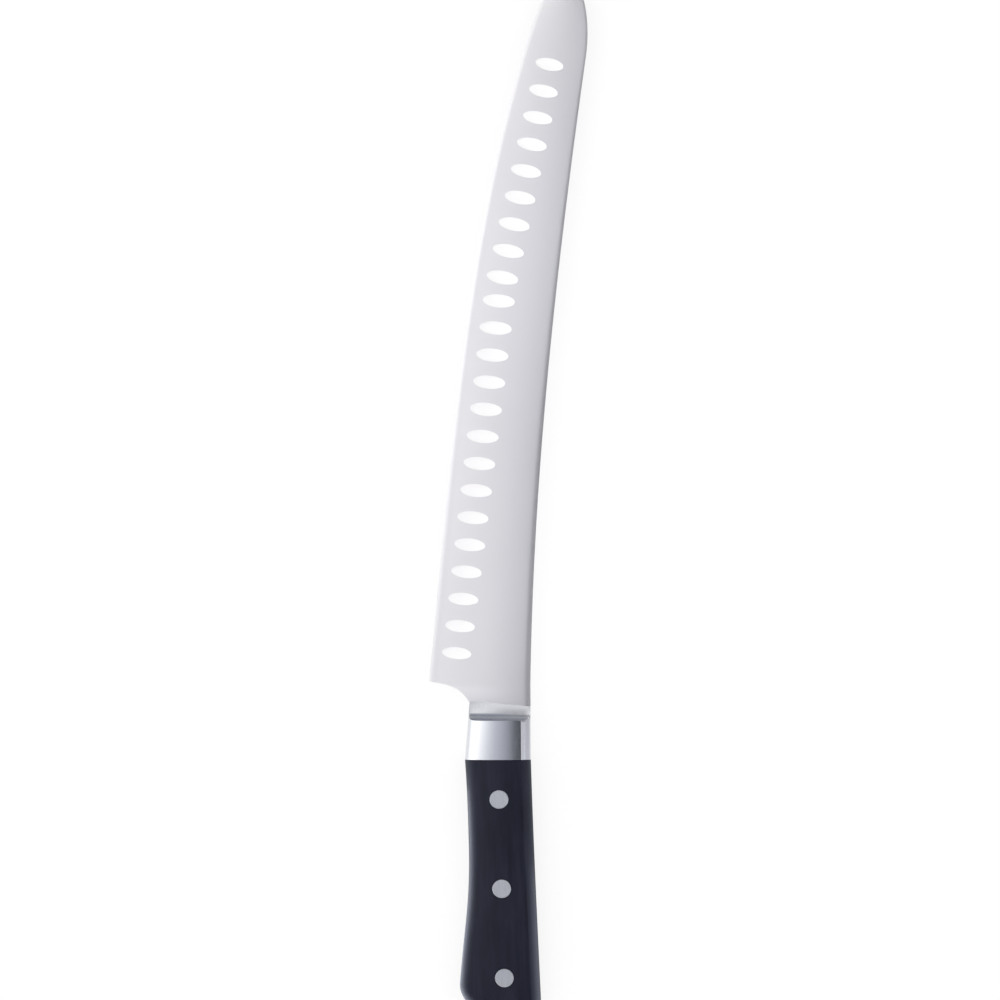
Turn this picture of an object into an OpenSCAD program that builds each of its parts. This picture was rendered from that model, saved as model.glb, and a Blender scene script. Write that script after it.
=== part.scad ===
// A carving knife lying on its side, tip towards +Y, cutting edge towards -X.
// The drawing below has its datum where the handle's axis meets the back of the bolster,
// on the middle plane of the tang. placed() moves it so that the knife lies on z = 0.

/* [Blade] */
// Distance from the heel to the tip, along the handle's axis
blade_reach = 263.7; // [220:0.5:300]
// How far the tip stands to the spine side of the handle's axis
tip_offset = 32.8; // [20:0.1:40]
// How far the heel stands below the handle's axis
heel_depth = 24.9; // [21:0.1:30]
// Distance from the back of the bolster to the heel
heel_forward = 30; // [29:0.5:40]
// Thickness at the spine, at the bolster
spine_t = 2.4; // [1.8:0.1:3.2]
// Thickness at the spine, at the tip
tip_t = 1.2; // [0.8:0.1:1.8]
// Thickness behind the sharpened bevel
edge_t = 0.4; // [0.2:0.05:0.6]
// Width of the sharpened bevel
bevel_w = 1.5; // [0.8:0.1:2.5]
// Width of the small chamfer along the spine
spine_chamfer = 0.3; // [0.1:0.05:0.4]
// Lean of the edge at the heel, in degrees
edge_lean_heel = 7.5; // [5:0.1:10]
// Lean of the edge where the point begins, in degrees
edge_lean_point = 18.1; // [15:0.1:22]
// Lean of the spine ahead of the bolster, in degrees
spine_lean_neck = 2.5; // [0:0.1:4]
// Lean of the spine where the point begins, in degrees
spine_lean_point = 9.7; // [7:0.1:13]
// Length of the rounded point, on the edge side
point_l = 31.5; // [25:0.5:40]
// Width of the blade where the point begins
point_w = 24; // [20:0.1:28]
// Radius of the finger notch behind the heel
notch_r = 13.7; // [10:0.1:14.5]
// Distance from the bolster to the foot of the notch
notch_foot = 0.6; // [0.2:0.1:2]
// How far the underside of the heel rises towards the edge
heel_rise = 0.9; // [0.5:0.1:2]

/* [Hollows] */
// Distance from one ground hollow to the next, along its row
hollow_pitch = 10.22; // [9.5:0.02:12]
// Distance from the heel to the first hollow
hollow_start = 11; // [8:0.5:20]
// Distance from the heel to the knee, where the lower row of hollows meets the upper one
hollow_knee = 148; // [120:1:180]
// Length of the point that is left without hollows
hollow_end = 31.5; // [28:0.5:50]
// Distance from the edge to the middle of a hollow, at the heel
hollow_inset_heel = 9.3; // [8.5:0.1:12]
// Distance from the edge to the middle of a hollow, at the knee
hollow_inset_knee = 10.4; // [8.5:0.1:12]
// Distance from the edge to the middle of a hollow, near the point
hollow_inset_point = 10.6; // [8.5:0.1:12]
// How far a hollow is turned from square to its row, in degrees
hollow_twist = 1.5; // [0:0.1:5]
// Length of a hollow across the blade, halfway along the blade
hollow_l = 12.7; // [8:0.1:14]
// Width of a hollow along the blade, halfway along the blade
hollow_w = 4.9; // [3:0.1:6]
// Depth of a hollow, halfway along the blade
hollow_depth = 0.32; // [0.25:0.01:0.4]
// Depth of the first and the last hollow
hollow_end_depth = 0.21; // [0.15:0.01:0.25]

/* [Handle] */
// Thickness of the handle over both scales
handle_t = 15.6; // [13:0.1:18]
// Length of the scales, from the bolster to the butt
scale_l = 96; // [92:1:115]
// Half width of the handle on the spine side, at the bolster
spine_side = 12.4; // [11:0.1:14]
// Half width of the handle on the belly side, at the bolster
belly_side = 12.3; // [11:0.1:14]
// How far the belly of the handle is drawn in at its middle
belly_waist = 0.5; // [0:0.1:2]
// How far the belly of the handle swells towards the butt
belly_swell = 4.4; // [2:0.1:7]
// How far the spine side rises towards the butt
spine_swell = 1.1; // [0:0.1:3]
// Slant of the butt's end, in degrees
butt_slant = 10; // [0:1:20]
// Radius of the butt's corner on the belly side
beak_r = 9.5; // [7:0.5:12]
// Radius of the butt's corner on the spine side
butt_r = 6; // [3:0.5:9]
// Width of the facet along the spine side of the handle
facet_w = 3.6; // [2:0.1:5]
// How far that facet falls
facet_fall = 5.8; // [3:0.1:6]
// Width of the steep bevel along the belly side of the handle
belly_w = 2; // [1:0.1:4]
// How far that bevel falls
belly_fall = 5.2; // [3:0.1:6]
// How far the joint between the bolster and the scales is out of square, in degrees
seam_slant = 1.7; // [0:0.1:3]

/* [Bolster] */
// Length of the bolster at its full thickness
bolster_l = 14.6; // [10:0.1:16]
// Thickness left at the thin front lip of the bolster
lip_t = 0.15; // [0.1:0.05:0.4]
// How much the belly side is drawn in at the front of the bolster
neck_waist = 2.3; // [0.5:0.1:4]
// How much the spine side rises at the front of the bolster
neck_swell = 0.5; // [0:0.05:2]

/* [Rivets] */
// Diameter of a rivet head
head_d = 7; // [6:0.1:8]
// Depth of a rivet head
head_h = 4; // [2:0.1:5]
// Outer diameter of the rivet's sleeve
sleeve_d = 5; // [4.4:0.1:5.8]
// Diameter of the rivet's stud
stud_d = 3.2; // [2:0.1:3.6]
// Distance from the bolster to the first rivet
rivet_start = 14.8; // [10:0.1:20]
// Distance from one rivet to the next
rivet_pitch = 33.4; // [28:0.1:35]
// Clearance between a rivet's parts and round them
fit_gap = 0.03; // [0.01:0.01:0.1]

/* [Hidden] */
$fn = 64;
rivets = ["front", "middle", "rear"];

steel = [0.80, 0.80, 0.82];
bright_steel = [0.86, 0.87, 0.90];
black_wood = [0.13, 0.14, 0.18];
nickel_silver = [0.70, 0.71, 0.75];

// Room that a cutting solid has beyond what it cuts
far = 400;
half_t = handle_t / 2;
half_tang = spine_t / 2;
cove_r = half_t - half_tang - lip_t;
bolster_front = bolster_l + cove_r;
rivet_y = [for (i = [0:2]) -rivet_start - i * rivet_pitch];

function mix(a, b, t) = a * (1 - t) + b * t;
function smooth(t) = let (s = min(1, max(0, t))) s * s * (3 - 2 * s);
function lean(length, angle) = [length * sin(angle), length * cos(angle)];
function turned(p) = [p.y, -p.x];
function bezier(p, t) = pow(1 - t, 3) * p[0] + 3 * pow(1 - t, 2) * t * p[1]
    + 3 * (1 - t) * t * t * p[2] + pow(t, 3) * p[3];
function leaning_curve(a, angle_a, b, angle_b) =
    let (pull = norm(b - a) / 3) [a, a + lean(pull, angle_a), b - lean(pull, angle_b), b];
function curve_points(p, n) = [for (i = [0:n - 1]) bezier(p, i / n)];
function arc_points(centre, r, from, to, n) =
    [for (i = [0:n]) let (a = mix(from, to, i / n)) centre + r * [cos(a), sin(a)]];

// The four corners of the bolster in plan
belly_back = [-belly_side, 0];
spine_back = [spine_side, 0];
belly_front = [-belly_side + neck_waist, bolster_front];
spine_front = [spine_side + neck_swell, bolster_front];

// Points that steer the outline of the blade. Both long curves begin a little behind the heel,
// so that the notch cuts the heel's corner cleanly.
heel = [-heel_depth, heel_forward];
tip = [tip_offset, heel_forward + blade_reach];
behind_heel = 2;
edge_start = heel - lean(behind_heel, edge_lean_heel);
spine_start = spine_front + lean(edge_start.y - bolster_front, spine_lean_neck / 2);
point_share = 2 / 3;
point_edge = [tip.x - point_share * point_w, tip.y - point_l];
point_spine = point_edge + [point_w, 0];
edge_curve = leaning_curve(edge_start, edge_lean_heel, point_edge, edge_lean_point);
spine_curve = leaning_curve(spine_start, spine_lean_neck, point_spine, spine_lean_point);
edge_side_pull = point_l / 2;
spine_side_pull = 0.45 * point_l;
tip_pull_edge = [-5.3, -1.7];
tip_pull_spine = [8.2, -1.4];
point_edge_curve = [point_edge, point_edge + lean(edge_side_pull, edge_lean_point),
    tip + tip_pull_edge, tip];
point_spine_curve = [point_spine, point_spine + lean(spine_side_pull, spine_lean_point),
    tip + tip_pull_spine, tip];

// One station of the blade: a point on the edge, the point on the spine across from it, half the
// thickness at the spine, and the share of the section that is ground to a wedge
neck_steps = 5;
blade_steps = 40;
point_steps = 14;
point_taper = 0.85;
function neck_station(t) =
    let (y = mix(bolster_front, edge_start.y, t))
    [[edge_start.x, y], mix(spine_front, spine_start, t), half_tang, smooth(t)];
function blade_station(t) =
    [bezier(edge_curve, t), bezier(spine_curve, t), mix(spine_t, tip_t, t * point_taper) / 2, 1];
function point_station(t) =
    [bezier(point_edge_curve, t), bezier(point_spine_curve, t),
     mix(spine_t, tip_t, mix(point_taper, 1, t)) / 2, 1];
seat = [[edge_start.x, bolster_l], [spine_front.x, bolster_l], half_tang, 0];
stations = concat([seat],
    [for (i = [0:neck_steps - 1]) neck_station(i / neck_steps)],
    [for (i = [0:blade_steps]) blade_station(i / blade_steps)],
    [for (i = [1:point_steps - 1]) point_station(sin(90 * i / point_steps))]);

// Corners of a section: the edge, then up the left flank to the spine, then back down the right
function section(s) =
    let (a = s[0], b = s[1], h = s[2], width = norm(b - a), across = (b - a) / width,
        bevel = min(bevel_w, width / 4), chamfer = min(spine_chamfer, width / 8),
        flank = [[bevel, mix(h, edge_t / 2, s[3])], [width - chamfer, h], [width, h - chamfer]],
        left = [for (f = flank) concat(a + across * f[0], [f[1]])],
        right = [for (i = [2:-1:0]) concat(a + across * flank[i][0], [-flank[i][1]])])
    concat([concat(a + across * bevel * (1 - s[3]), [0])], left, right);

// A closed skin over a row of rings that have the same number of corners. Each end is a fan
// round the ring's middle, which sees every corner.
function middle(ring) = [for (p = ring) 1] * ring / len(ring);
module skin(rings) {
    m = len(rings[0]);
    n = len(rings);
    points = concat([for (r = rings) each r], [middle(rings[0]), middle(rings[n - 1])]);
    sides = [for (i = [0:n - 2], j = [0:m - 1]) let (k = (j + 1) % m)
        each [[i * m + j, (i + 1) * m + j, i * m + k], [i * m + k, (i + 1) * m + j, (i + 1) * m + k]]];
    first = [for (j = [0:m - 1]) [m * n, j, (j + 1) % m]];
    last = [for (j = [0:m - 1]) [m * n + 1, (n - 1) * m + (j + 1) % m, (n - 1) * m + j]];
    polyhedron(points, concat(sides, first, last), convexity = 8);
}

// Outline of the handle in plan: belly, beak, butt, spine side, and the bolster's front corners
// The two corners of the butt are arcs that share a slanted tangent.
waist_at = 30;
end_turn = 270 - butt_slant;
end_normal = [cos(end_turn), sin(end_turn)];
butt_centre = [spine_side + spine_swell - butt_r, -scale_l + butt_r];
beak_x = -belly_side - belly_swell + beak_r;
beak_y = (end_normal * butt_centre + butt_r - beak_r - end_normal.x * beak_x) / end_normal.y;
waist = [-belly_side + belly_waist, -waist_at];
beak = [beak_x - beak_r, beak_y];
crest = butt_centre + [butt_r, 0];
belly_curve = [belly_back, belly_back - [-belly_waist, waist_at / 3], waist + [0, waist_at / 3], waist];
waist_pull = [0, -24];
beak_pull = [2.2, 22];
crest_pull = [-0.5, 30];
spine_back_pull = [0, -30];
swell_curve = [waist, waist + waist_pull, beak + beak_pull, beak];
spine_side_curve = [crest, crest + crest_pull, spine_back + spine_back_pull, spine_back];
handle_outline = concat([belly_front],
    curve_points(belly_curve, 8),
    curve_points(swell_curve, 14),
    arc_points([beak_x, beak_y], beak_r, 180, end_turn, 10),
    arc_points(butt_centre, butt_r, end_turn, 360, 8),
    [for (i = [1:12]) bezier(spine_side_curve, i / 12)],
    [spine_front]);
outline_count = len(handle_outline);

// Profile of the handle's long sides, from the side face up to the flat: [drawn in, below the flat].
// Both sides are shallow arcs. Their turns are the arc's lean at its foot and at the flat's rim.
profile_steps = 6;
facet_turns = [8, 55];
belly_turns = [10, 30];
least_side = 0.3;
function profile(share) =
    let (w = mix(belly_w, facet_w, share),
        fall = min(mix(belly_fall, facet_fall, share), half_t - half_tang - least_side),
        turns = mix(belly_turns, facet_turns, share), first = turns[0], last = turns[1])
    [for (i = [0:profile_steps]) let (turn = mix(first, last, i / profile_steps))
        [w * (cos(first) - cos(turn)) / (cos(first) - cos(last)),
         fall * (sin(last) - sin(turn)) / (sin(last) - sin(first))]];
function inward(i) =
    let (before = handle_outline[(i + outline_count - 1) % outline_count],
        after = handle_outline[(i + 1) % outline_count], run = after - before)
    -turned(run) / norm(run);
function spine_share(p) = smooth((p.x + belly_side) / (belly_side + spine_side));
handle_profiles = [for (p = handle_outline) profile(spine_share(p))];
handle_rings = concat(
    [[for (p = handle_outline) concat(p, [half_tang])]],
    [for (j = [0:profile_steps]) [for (i = [0:outline_count - 1])
        let (step = handle_profiles[i][j])
        concat(handle_outline[i] + inward(i) * step[0], [half_t - step[1]])]]);

// What is drawn for the left side stands on the right side mirrored
module on_side(side) {
    if (side < 0) mirror([0, 0, 1]) children();
    else children();
}

module placed() {
    corners = concat([for (s = stations) each [s[0], s[1]]], handle_outline);
    xs = [for (p = corners) p.x];
    ys = [for (p = corners) p.y];
    translate([-(min(xs) + max(xs)) / 2, -(min(ys) + max(ys)) / 2, half_t]) children();
}

// The finger notch: an arc that meets the neck, and the heel's underside, which touches that arc
module notch_outline() {
    foot = belly_front + [0, notch_foot];
    middle_y = heel.y - heel_rise - notch_r;
    centre = [foot.x - sqrt(pow(notch_r, 2) - pow(foot.y - middle_y, 2)), middle_y];
    to_heel = heel - centre;
    touch = atan2(to_heel.y, to_heel.x) - acos(notch_r / norm(to_heel));
    underside = centre + notch_r * [cos(touch), sin(touch)];
    out = (heel - underside) / norm(heel - underside);
    intersection() {
        translate(centre) circle(notch_r);
        translate([foot.x - far, -far]) square([far, 2 * far]);
    }
    polygon([heel + out * notch_r, underside, centre, foot, [foot.x, -far], [heel.x - far, -far]]);
}

// A scoop as a wheel with a rounded rim grinds it, across the flank
module hollow() {
    wheel_r = pow(hollow_l / 2, 2) / (2 * hollow_depth);
    rim_r = pow(hollow_w / 2, 2) / (2 * hollow_depth);
    deep = 3 * hollow_depth;
    sweep = 2 * asin(hollow_l / wheel_r);
    translate([0, 0, wheel_r - hollow_depth]) rotate([90, 90, 0]) rotate([0, 0, -sweep / 2])
        rotate_extrude(angle = sweep) intersection() {
            translate([wheel_r - rim_r, 0]) circle(rim_r);
            translate([wheel_r - deep, -rim_r]) square([deep + 1, 2 * rim_r]);
        }
}

// Direction of the blade's middle line at a station, and the point on the flank at a distance
// from the edge
station_step = 0.01;
function middle_line(t) = (bezier(edge_curve, t) + bezier(spine_curve, t)) / 2;
function along(t) =
    let (run = middle_line(t + station_step) - middle_line(t))
    run / norm(run);
function flank_point(y, inset) =
    let (t = (y - edge_start.y) / (point_edge.y - edge_start.y))
    bezier(edge_curve, t) + turned(along(t)) * inset;
// The station that a point in plan lies on, found by halving
function station_under(p, low = 0, high = 1.1, halvings = 24) =
    let (t = (low + high) / 2)
    halvings == 0 ? t
    : (p - bezier(edge_curve, t)) * along(t) > 0 ? station_under(p, t, high, halvings - 1)
    : station_under(p, low, t, halvings - 1);

// The left flank has two straight rows, one from the heel and one from the point, that meet at
// the knee. The right flank's hollows lie midway between, so that no two are back to back.
heel_end = flank_point(heel.y + hollow_start, hollow_inset_heel);
knee = flank_point(heel.y + hollow_knee, hollow_inset_knee);
point_end = flank_point(tip.y - hollow_end, hollow_inset_point);
function row_from(end) =
    let (run = knee - end, step = run / norm(run) * hollow_pitch)
    [for (i = [0:floor(norm(run) / hollow_pitch)]) end + step * i];
lower_row = row_from(heel_end);
upper_row = row_from(point_end);
lower_lean = atan2(knee.x - heel_end.x, knee.y - heel_end.y);
upper_lean = atan2(point_end.x - knee.x, point_end.y - knee.y);
left_spots = concat(lower_row, [for (i = [len(upper_row) - 1:-1:0]) upper_row[i]]);
right_spots = [for (i = [1:len(left_spots) - 1]) (left_spots[i - 1] + left_spots[i]) / 2];

module hollows(side) {
    spots = side < 0 ? right_spots : left_spots;
    for (i = [0:len(spots) - 1]) {
        t = station_under(spots[i]);
        s = blade_station(t);
        inset = norm(spots[i] - s[0]);
        rise = (s[2] - edge_t / 2) / (norm(s[1] - s[0]) - bevel_w);
        height = edge_t / 2 + rise * (inset - bevel_w);
        depth = mix(hollow_end_depth, hollow_depth, sin(180 * i / (len(spots) - 1)));
        row_lean = spots[i].y < knee.y ? lower_lean : upper_lean;
        on_side(side) translate([spots[i].x, spots[i].y, height + hollow_depth - depth])
            rotate([0, 0, hollow_twist - row_lean]) rotate([0, -atan(rise), 0]) hollow();
    }
}

module tang() {
    translate([0, 0, -half_tang]) linear_extrude(spine_t) difference() {
        polygon(handle_outline);
        for (y = rivet_y) translate([0, y]) circle(sleeve_d / 2 + fit_gap);
    }
}

module blade() color(steel) placed() difference() {
    union() {
        skin([for (s = stations) section(s)]);
        tang();
    }
    translate([0, 0, -handle_t]) linear_extrude(2 * handle_t) difference() {
        notch_outline();
        polygon(handle_outline);
    }
    hollows(1);
    hollows(-1);
}

// A slab along one side of the bolster, with the handle's profile along its outer edge
module profiled_side(from, to, edge_profile) {
    d = to - from;
    deep = belly_side + spine_side;
    translate([from.x, from.y, 0]) rotate([0, 0, atan2(d.y, d.x)]) rotate([90, 0, 90])
        translate([0, 0, -cove_r]) linear_extrude(norm(d) + 2 * cove_r)
            polygon(concat([[-2 * deep, half_tang], [0, half_tang]],
                [for (p = edge_profile) [-p[0], half_t - p[1]]], [[-2 * deep, half_t]]));
}

module bolster(side) color(bright_steel) placed() on_side(side) intersection() {
    rotate([0, 0, -seam_slant]) translate([-far / 2, 0, 0]) rotate([90, 0, 90])
        linear_extrude(far) difference() {
            translate([0, half_tang]) square([bolster_front, half_t - half_tang]);
            translate([bolster_front, half_t]) circle(cove_r);
        }
    profiled_side(belly_back, belly_front, profile(0));
    profiled_side(spine_front, spine_back, profile(1));
}

module rivet_bores() {
    for (y = rivet_y) {
        translate([0, y, 0]) cylinder(d = sleeve_d + 2 * fit_gap, h = handle_t);
        translate([0, y, half_t - head_h]) cylinder(d = head_d + 2 * fit_gap, h = handle_t);
    }
}

module scale_half(side) color(black_wood) placed() on_side(side) difference() {
    skin(handle_rings);
    rotate([0, 0, -seam_slant]) translate([-far / 2, 0, -1]) cube([far, far, handle_t]);
    rivet_bores();
}

// The stud has the head that shows on the left, and its pin fills the sleeve
module rivet_stud(y) color(nickel_silver) placed() translate([0, y, 0]) {
    translate([0, 0, half_t - head_h]) cylinder(d = head_d, h = head_h);
    translate([0, 0, -half_t + head_h]) cylinder(d = stud_d, h = handle_t - 2 * head_h);
}

module rivet_sleeve(y) color(nickel_silver) placed() translate([0, y, -half_t]) {
    cylinder(d = head_d, h = head_h);
    difference() {
        cylinder(d = sleeve_d, h = handle_t - head_h - fit_gap);
        translate([0, 0, head_h]) cylinder(d = stud_d + 2 * fit_gap, h = handle_t);
    }
}

blade();
bolster(1);  // bolster_left
bolster(-1);  // bolster_right
scale_half(1);  // scale_left
scale_half(-1);  // scale_right
for (i = [0:2]) {
    rivet_stud(rivet_y[i]);
    rivet_sleeve(rivet_y[i]);
}
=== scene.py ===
# A carving knife lying on its right side, photographed from straight above.
# All pieces are drawn in millimetres from the datum, which is the middle of the handle's
# axis at the back of the bolster, and are placed in the frame by toFrame().
import math

import bmesh
import bpy
from mathutils import Euler, Matrix, Vector


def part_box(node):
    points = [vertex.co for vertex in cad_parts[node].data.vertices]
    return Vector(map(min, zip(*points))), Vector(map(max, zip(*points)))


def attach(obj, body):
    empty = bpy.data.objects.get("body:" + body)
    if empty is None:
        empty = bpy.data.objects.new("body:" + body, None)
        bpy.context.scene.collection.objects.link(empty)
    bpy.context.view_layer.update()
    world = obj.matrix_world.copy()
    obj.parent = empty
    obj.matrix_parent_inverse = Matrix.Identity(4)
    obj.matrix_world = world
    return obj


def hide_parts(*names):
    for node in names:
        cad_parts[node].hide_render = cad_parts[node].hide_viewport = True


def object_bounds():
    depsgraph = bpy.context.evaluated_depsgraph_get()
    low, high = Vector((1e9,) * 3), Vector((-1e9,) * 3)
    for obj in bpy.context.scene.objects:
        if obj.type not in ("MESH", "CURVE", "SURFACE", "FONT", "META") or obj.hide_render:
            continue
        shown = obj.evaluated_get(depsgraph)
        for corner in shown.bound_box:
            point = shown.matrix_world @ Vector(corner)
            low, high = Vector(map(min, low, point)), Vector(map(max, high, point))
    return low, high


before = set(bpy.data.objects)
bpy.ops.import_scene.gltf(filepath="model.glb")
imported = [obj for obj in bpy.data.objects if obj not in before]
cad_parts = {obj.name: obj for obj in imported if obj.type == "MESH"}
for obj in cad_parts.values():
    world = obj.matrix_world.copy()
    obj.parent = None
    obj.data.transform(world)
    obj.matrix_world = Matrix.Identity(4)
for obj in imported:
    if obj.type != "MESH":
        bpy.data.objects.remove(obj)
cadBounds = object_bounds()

print("frame loaded")

mm = 0.001
rivetStart = 14.8  # from the bolster to the first rivet
bolsterLength = 14.6  # at its full thickness
lipThickness = 0.15  # of the bolster's thin front lip
leftLow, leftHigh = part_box("scale_left")
rightLow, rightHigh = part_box("scale_right")
studLow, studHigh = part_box("front_rivet_stud")
rearLow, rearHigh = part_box("rear_rivet_stud")
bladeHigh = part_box("blade")[1]
datum = Vector(((studLow[0] + studHigh[0]) / 2, (studLow[1] + studHigh[1]) / 2 + rivetStart * mm,
                (leftLow[2] + rightHigh[2]) / 2))
halfTang = (leftLow[2] - rightHigh[2]) / 2 / mm
halfHandle = (leftHigh[2] - rightLow[2]) / 2 / mm
scaleLength = (datum.y - leftLow[1]) / mm
bolsterFront = bolsterLength + halfHandle - halfTang - lipThickness
bladeReach = (bladeHigh[1] - datum.y) / mm
rivetFirst = -rivetStart
rivetLast = ((rearLow[1] + rearHigh[1]) / 2 - datum.y) / mm
headRadius = (studHigh[0] - studLow[0]) / 2 / mm


def toFrame(p):
    return (datum.x + p[0] * mm, datum.y + p[1] * mm, datum.z + p[2] * mm)


def mix(a, b, t):
    return a * (1 - t) + b * t


def smooth(t):
    t = min(1, max(0, t))
    return t * t * (3 - 2 * t)


def lean(length, degrees):
    return Vector((length * math.sin(math.radians(degrees)), length * math.cos(math.radians(degrees))))


def bezier(p, t):
    s = 1 - t
    return s * s * s * p[0] + 3 * s * s * t * p[1] + 3 * s * t * t * p[2] + t * t * t * p[3]


def leaningCurve(a, leanA, b, leanB):
    pull = (b - a).length / 3
    return [a, a + lean(pull, leanA), b - lean(pull, leanB), b]


def arcPoints(centre, r, start, end, count):
    angles = [math.radians(mix(start, end, i / count)) for i in range(count + 1)]
    return [centre + r * Vector((math.cos(a), math.sin(a))) for a in angles]


# Meshes

def meshObject(name, points, faces, materials):
    mesh = bpy.data.meshes.new(name)
    mesh.from_pydata([toFrame(p) for p in points], [], faces)
    for material in materials:
        mesh.materials.append(material)
    mesh.validate()
    piece = bpy.data.objects.new(name, mesh)
    bpy.context.scene.collection.objects.link(piece)
    return piece


def tidyMesh(piece, sharpDegrees):
    # Doubles go, faces point outwards, and edges past the angle stay crisp
    work = bmesh.new()
    work.from_mesh(piece.data)
    bmesh.ops.remove_doubles(work, verts=work.verts, dist=1e-7)
    bmesh.ops.dissolve_degenerate(work, edges=work.edges, dist=1e-7)
    bmesh.ops.recalc_face_normals(work, faces=work.faces)
    for face in work.faces:
        face.smooth = True
    for edge in work.edges:
        edge.smooth = edge.calc_face_angle(0) < math.radians(sharpDegrees)
    work.to_mesh(piece.data)
    work.free()


def ringFaces(ringCount, cornerCount):
    faces = []
    for i in range(ringCount - 1):
        for j in range(cornerCount):
            k = (j + 1) % cornerCount
            faces.append((i * cornerCount + j, i * cornerCount + k,
                          (i + 1) * cornerCount + k, (i + 1) * cornerCount + j))
    faces.append(tuple(range(cornerCount)))
    faces.append(tuple((ringCount - 1) * cornerCount + j for j in reversed(range(cornerCount))))
    return faces


def applyNodes(piece, tree, values):
    # Runs a geometry node tree on a piece and keeps the result as a plain mesh
    modifier = piece.modifiers.new(tree.name, "NODES")
    modifier.node_group = tree
    for item in tree.interface.items_tree:
        if item.item_type == "SOCKET" and item.in_out == "INPUT" and item.name in values:
            modifier[item.identifier] = values[item.name]
    piece.update_tag()
    bpy.context.view_layer.update()
    depsgraph = bpy.context.evaluated_depsgraph_get()
    made = bpy.data.meshes.new_from_object(piece.evaluated_get(depsgraph), depsgraph=depsgraph)
    piece.modifiers.remove(modifier)
    made.name = piece.data.name
    piece.data = made


def finishPiece(piece, slotName, *nodes):
    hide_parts(*nodes)
    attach(piece, "root")


def newNode(tree, kind, place=(0, 0), values=None, **settings):
    node = tree.nodes.new(kind)
    node.location = place
    for key, value in settings.items():
        setattr(node, key, value)
    for key, value in (values or {}).items():
        node.inputs[key].default_value = value
    return node


# Materials

def startMaterial(name):
    material = bpy.data.materials.new(name)
    material.use_nodes = True
    tree = material.node_tree
    shader = tree.nodes["Principled BSDF"]
    coordinates = newNode(tree, "ShaderNodeTexCoord", (-1400, 0))
    return material, tree, shader, coordinates


def stretchedNoise(tree, coordinates, scale, detail=4, roughness=0.5, place=(-1100, 0)):
    # Noise whose grains are 1 / scale metres long along each axis
    mapping = newNode(tree, "ShaderNodeMapping", place, {"Scale": scale})
    noise = newNode(tree, "ShaderNodeTexNoise", (place[0] + 200, place[1]),
                    {"Scale": 1.0, "Detail": detail, "Roughness": roughness})
    tree.links.new(coordinates.outputs["Object"], mapping.inputs["Vector"])
    tree.links.new(mapping.outputs["Vector"], noise.inputs["Vector"])
    return noise.outputs["Fac"]


def ramp(tree, factor, stops, place=(-600, 0)):
    node = newNode(tree, "ShaderNodeValToRGB", place)
    elements = node.color_ramp.elements
    while len(elements) < len(stops):
        elements.new(0.5)
    for element, (position, colour) in zip(elements, stops):
        element.position = position
        element.color = (*colour, 1)
    tree.links.new(factor, node.inputs["Fac"])
    return node.outputs["Color"]


def grey(value):
    return (value, value, value)


def overNoise(low, high):
    # Stops that turn noise, most of which lies between 0.3 and 0.7, into low to high
    return [(0.3, low), (0.7, high)]


def greys(low, high):
    return overNoise(grey(low), grey(high))


def bump(tree, shader, height, distance, strength=1.0):
    node = newNode(tree, "ShaderNodeBump", (-300, -400), {"Strength": strength, "Distance": distance})
    tree.links.new(height, node.inputs["Height"])
    tree.links.new(node.outputs["Normal"], shader.inputs["Normal"])


steelFinish = dict(
    dark=(0.865, 0.851, 0.858),
    light=(0.930, 0.916, 0.923),
    roughLow=0.32,
    roughHigh=0.40,
    lineScale=(18, 2600, 18),
    cloudScale=(30, 9, 30),
    grainHeight=0.0000016,
)
# The hollows' steel is rougher, as ground steel is, but it is also brightened and made less metallic: a
# painted highlight that turns them white.
hollowFinishPaintedBright = dict(paintedGain=1.1, rough=0.2, metal=0.35)


def bladeSteel(name, paintedGain=1.0, rough=0.0, metal=1.0):
    # Satin ground steel: fine grinding lines run across the blade. With a gain above 1 and less metal, it
    # becomes a lit copy for the hollows, whose white is a painted highlight.
    s = steelFinish
    material, tree, shader, coordinates = startMaterial(name)
    shader.inputs["Metallic"].default_value = metal
    lines = stretchedNoise(tree, coordinates, s["lineScale"], 5, 0.6)
    clouds = stretchedNoise(tree, coordinates, s["cloudScale"], 2, 0.4, (-1100, -350))
    dark = tuple(min(1, c * paintedGain) for c in s["dark"])
    light = tuple(min(1, c * paintedGain) for c in s["light"])
    tree.links.new(ramp(tree, clouds, overNoise(dark, light)), shader.inputs["Base Color"])
    roughness = ramp(tree, lines, greys(s["roughLow"] + rough, s["roughHigh"] + rough), (-600, -250))
    tree.links.new(roughness, shader.inputs["Roughness"])
    bump(tree, shader, lines, s["grainHeight"])
    return material


bolsterFinish = dict(
    colour=(0.72, 0.73, 0.765),
    roughLow=0.19,
    roughHigh=0.25,
    hazeScale=(1500, 90, 1500),
    grainHeight=0.0000006,
)


def bolsterSteel():
    # Polished steel with the faintest buffing haze
    s = bolsterFinish
    material, tree, shader, coordinates = startMaterial("polishedSteel")
    shader.inputs["Metallic"].default_value = 1
    shader.inputs["Base Color"].default_value = (*s["colour"], 1)
    haze = stretchedNoise(tree, coordinates, s["hazeScale"], 4, 0.6)
    tree.links.new(ramp(tree, haze, greys(s["roughLow"], s["roughHigh"])), shader.inputs["Roughness"])
    bump(tree, shader, haze, s["grainHeight"])
    return material


woodFinish = dict(
    dark=(0.0010, 0.0022, 0.0120),
    middle=(0.0034, 0.0048, 0.0195),
    light=(0.0095, 0.0110, 0.0290),
    roughLow=0.42,
    roughHigh=0.52,
    shine=0.26,
    sheen=0.08,
    sheenTint=(0.62, 0.74, 1.0),
    streakScale=(620, 38, 620),
    cloudScale=(150, 45, 150),
    poreScale=(3600, 260, 3600),
    poreDepth=0.00002,
)


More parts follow.
